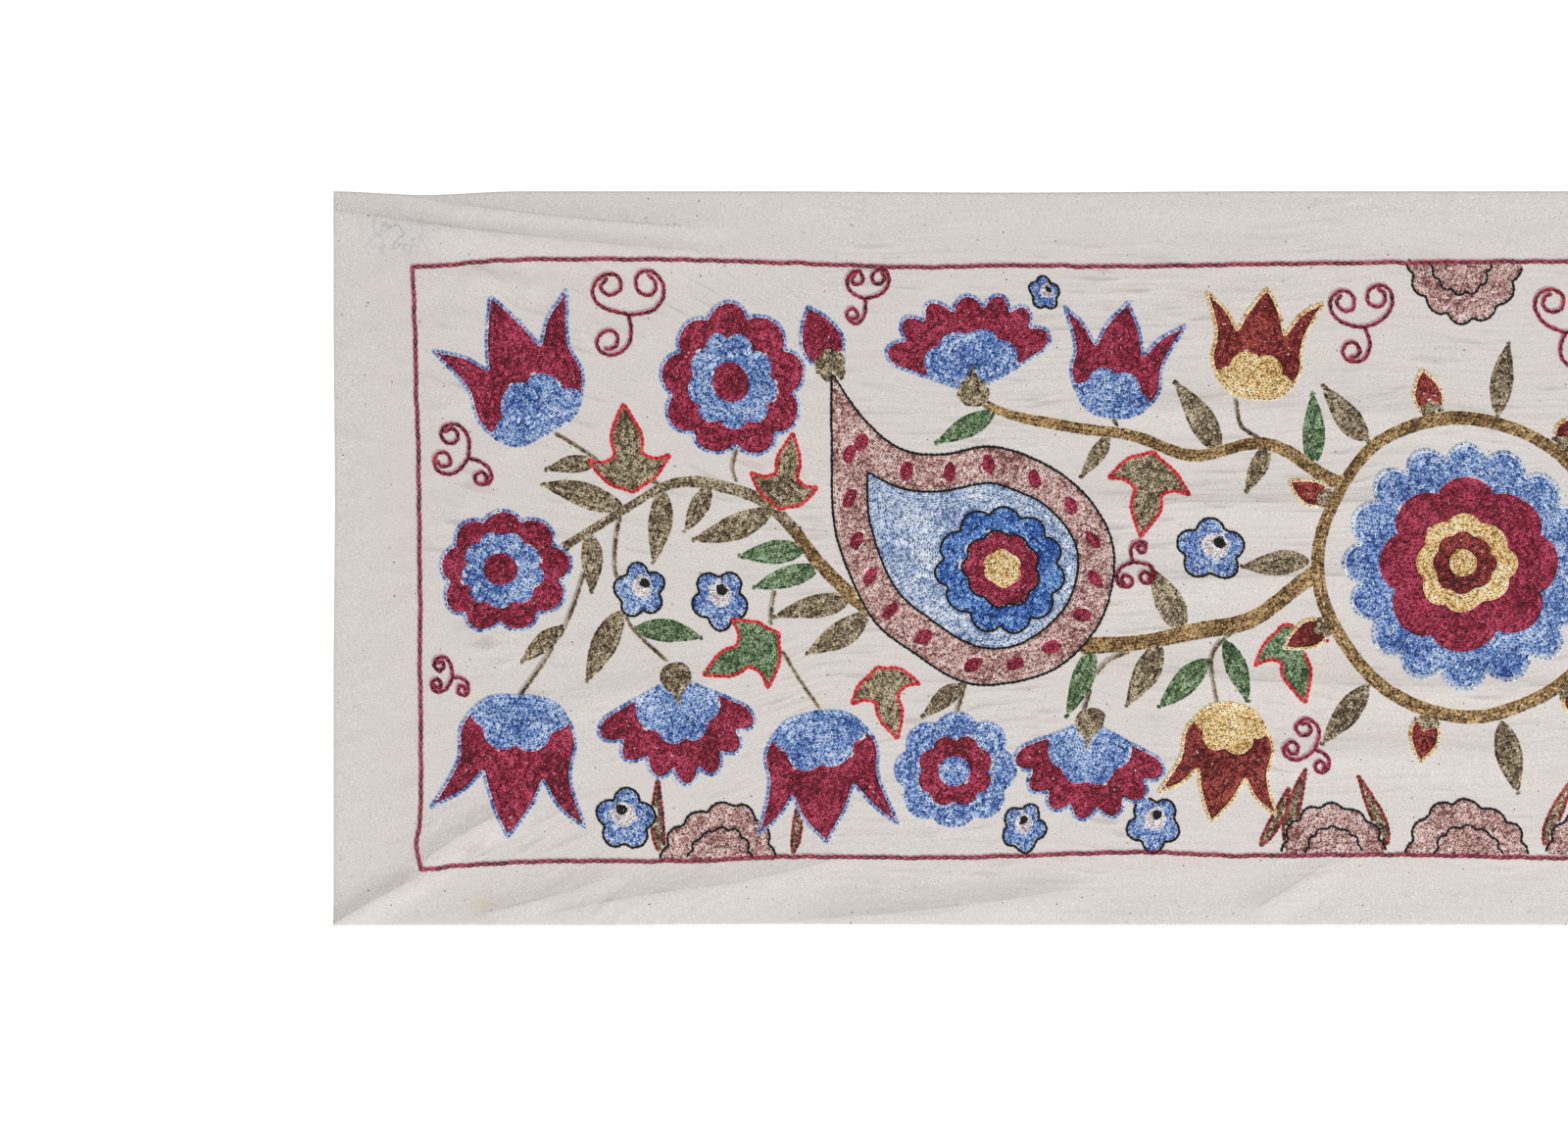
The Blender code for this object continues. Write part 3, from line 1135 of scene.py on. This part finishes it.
def creases(nodes):
    """Fine creases drawn in by the needlework, level along the cloth and fanning out to its corners: the
    painted shade along them, and their height."""
    x, y, _ = nodes.split(nodes.place)
    out_x, out_y = (nodes.math("ABSOLUTE", place) for place in (x, y))
    fan = nodes.span(out_x, 0.42, 0.74, 1.0, 2.3)
    wander = nodes.math("MULTIPLY_ADD", nodes.noise(5.0, 1.0), 0.04, y)
    across = nodes.times(nodes.math("DIVIDE", wander, fan), 215.0)
    flow = nodes.add("ShaderNodeCombineXYZ", {0: nodes.times(x, 27.0), 1: across}).outputs[0]
    swell = nodes.noise(1.0, 1.0, flow, Distortion=0.2)
    in_field = nodes.times(nodes.span(out_x, 0.70, 0.66, 0.3), nodes.span(out_y, 0.215, 0.185, 0.3))
    patches = nodes.times(nodes.span(nodes.noise(11.0), 0.40, 0.64, 0.15), in_field)
    # Painted shade where the creases swell
    dark = nodes.times(nodes.span(swell, 0.59, 0.70), patches)
    return dark, nodes.times(swell, nodes.math("MULTIPLY_ADD", patches, 0.8, 0.2))


def fold_line_shade(nodes):
    """The sharp upper edge of each main fold: the painted shade along it."""
    dark = 0.0
    for fold in FOLDS:
        if fold.height < SHARP_FROM:
            continue
        run_x, run_y = fold.x1 - fold.x0, fold.y1 - fold.y0
        beside = nodes.mapped(
            "TEXTURE",
            Location=(fold.x0, fold.y0, 0),
            Rotation=(0, 0, math.atan2(run_y, run_x)),
            Scale=(math.hypot(run_x, run_y), 1, 1),
        )
        along, aside, _ = nodes.split(beside)
        bowed = nodes.times(along, nodes.math("SUBTRACT", 1.0, along))
        aside = nodes.math("MULTIPLY_ADD", bowed, -4.0 * fold.bow, aside)
        ends = nodes.times(nodes.span(along, 0.0, 0.2), nodes.span(along, 1.0, 0.7))
        above = nodes.span(aside, 0.9 * fold.half_width, 0.0)
        line = nodes.times(nodes.math("POWER", above, 6.0), nodes.span(aside, -0.0006, 0.0001))
        dark = nodes.math("MAXIMUM", dark, nodes.times(line, ends))
    return nodes.times(dark, nodes.span(nodes.noise(40.0), 0.35, 0.6, 0.35))


def cotton():
    """Unbleached plain weave: uneven yarns both ways, seed flecks, fine creases with painted shade, painted
    shade along the main folds' upper edges, and two faint marks.
    """
    nodes = Nodes("unbleached cotton")
    ways = ((190, 2100, 1), (2100, 190, 1))
    yarns = nodes.math("ADD", *(nodes.noise(1.0, 3.0, nodes.mapped(Scale=way)) for way in ways))
    grain = nodes.noise(1050.0, Roughness=0.7)
    crease_shade, crease_height = creases(nodes)
    rubbed = nodes.math("ABSOLUTE", nodes.math("SUBTRACT", nodes.noise(75.0), 0.52))
    yellow = stain(nodes, (-0.642, -0.225), (0.010, 0.007))
    grey = stain(nodes, (-0.697, 0.212), (0.030, 0.020))
    layers = (
        (nodes.span(grain, 0.40, 0.66, 0.0, 0.60), (190, 180, 175)),
        (nodes.span(grain, 0.46, 0.32, 0.0, 0.55), (242, 238, 236)),
        (nodes.span(nodes.noise(9.0, 4.0), 0.35, 0.7, 0.0, 0.45), (212, 204, 200)),
        *((nodes.times(flecks(nodes, *sizes), shown), dye) for *sizes, shown, dye in SEED_FLECKS),
        (nodes.times(yellow, 0.35), (214, 196, 150)),
        (nodes.times(grey, nodes.span(rubbed, 0.04, 0.0, 0.14, 0.85)), (154, 160, 172)),
        # Painted shade in the fine creases
        (nodes.times(crease_shade, 0.34), (138, 126, 119)),
        # Painted shade along the main folds' upper edges
        (nodes.times(fold_line_shade(nodes), 0.36), (130, 117, 111)),
    )
    colour = nodes.mix(nodes.span(yarns, 0.75, 1.25), rgb(209, 203, 198), rgb(226, 221, 217))
    for amount, dye in layers:
        colour = nodes.mix(amount, colour, rgb(*dye))
    weave = nodes.bump(nodes.math("ADD", yarns, grain), 0.00022, 0.8)
    return nodes.finished({
        "Base Color": colour,
        "Normal": nodes.bump(crease_height, 0.0010, 1.0, Normal=weave),
        "Roughness": 0.88,
        "Specular IOR Level": 0.2,
    })


# Dark, middle and light colour of each silk
SILKS = {
    "crimson": ((78, 4, 22), (146, 20, 52), (206, 80, 112)),
    "red": ((176, 10, 24), (224, 28, 42), (246, 84, 92)),
    "light_blue": ((38, 68, 140), (112, 150, 212), (220, 234, 252)),
    "deep_blue": ((10, 42, 112), (54, 112, 198), (164, 204, 248)),
    "pale_blue": ((92, 116, 166), (180, 200, 228), (246, 250, 255)),
    "rose": ((118, 68, 64), (204, 158, 150), (250, 228, 222)),
    "black": ((4, 4, 6), (11, 11, 14), (30, 30, 36)),
    "olive": ((58, 42, 24), (134, 114, 86), (216, 202, 172)),
    "green": ((40, 64, 34), (98, 126, 84), (172, 194, 156)),
    "brown": ((70, 45, 18), (148, 114, 70), (220, 188, 134)),
    "dark_red": ((60, 5, 6), (126, 25, 26), (190, 92, 82)),
    "gold": ((172, 122, 54), (246, 212, 144), (255, 246, 214)),
    "white": ((186, 170, 170), (234, 224, 224), (252, 248, 248)),
}
FRAME_SILK = ((88, 8, 29), (138, 25, 53), (196, 82, 110))


# The object
def clothe():
    cloth = ground_cloth()
    cloth.data.materials.append(cotton())
    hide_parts("ground_cloth")
    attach(cloth, "root")

    pieces = []
    for thread, kinds in sorted(embroidery_rows().items()):
        piece = stitched("stitches_" + thread, kinds)
        piece.data.materials.append(silk("silk " + thread.replace("_", " "), SILKS[thread]))
        pieces.append(piece)
    line = stitched("frame_line", {"frame": frame_line_rows()})
    line.data.materials.append(silk("silk frame line", FRAME_SILK))
    pieces.append(line)
    for piece in pieces:
        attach(piece, "root")


# Camera, floor and light
CAMERA_AT = (-0.4455, -0.0076)
FRAME_WIDTH = 1.0256
LENS = 85.0
SENSOR = 36.0


def camera():
    data = bpy.data.cameras.new("camera")
    data.lens = LENS
    data.sensor_width = SENSOR
    data.clip_end = 50
    made = add_object("camera", data)
    made.location = (*CAMERA_AT, FRAME_WIDTH * LENS / SENSOR)
    bpy.context.scene.camera = made


def floor():
    bpy.ops.mesh.primitive_plane_add(size=40, location=(0, 0, -0.0002))
    made = bpy.context.object
    made.name = "floor"
    nodes = Nodes("white floor")
    made.data.materials.append(nodes.finished({
        "Base Color": nodes.mix(nodes.noise(3.0), (0.90, 0.90, 0.90, 1), (0.94, 0.94, 0.94, 1)),
        "Roughness": 0.9,
        "Emission Color": (1, 1, 1, 1),
        "Emission Strength": 0.50,
    }))


def area_light(name, place, aim, size, power):
    data = bpy.data.lights.new(name, "AREA")
    data.shape = "DISK"
    data.size = size
    data.energy = power
    made = add_object(name, data)
    made.location = place
    made.rotation_euler = (Vector(aim) - Vector(place)).to_track_quat("-Z", "Y").to_euler()


def lights():
    area_light("key", (1.9, -3.2, 2.5), (-0.4, 0, 0), 0.8, 148)
    area_light("fill", (-1.2, 0.6, 4.0), (-0.3, 0, 0), 4.0, 62)
    world = bpy.data.worlds.new("pale room")
    world.use_nodes = True
    background = world.node_tree.nodes["Background"].inputs
    background["Color"].default_value = (1, 1, 1, 1)
    background["Strength"].default_value = 0.38
    bpy.context.scene.world = world
    bpy.context.scene.view_settings.view_transform = "Standard"


clothe()
camera()
floor()
lights()
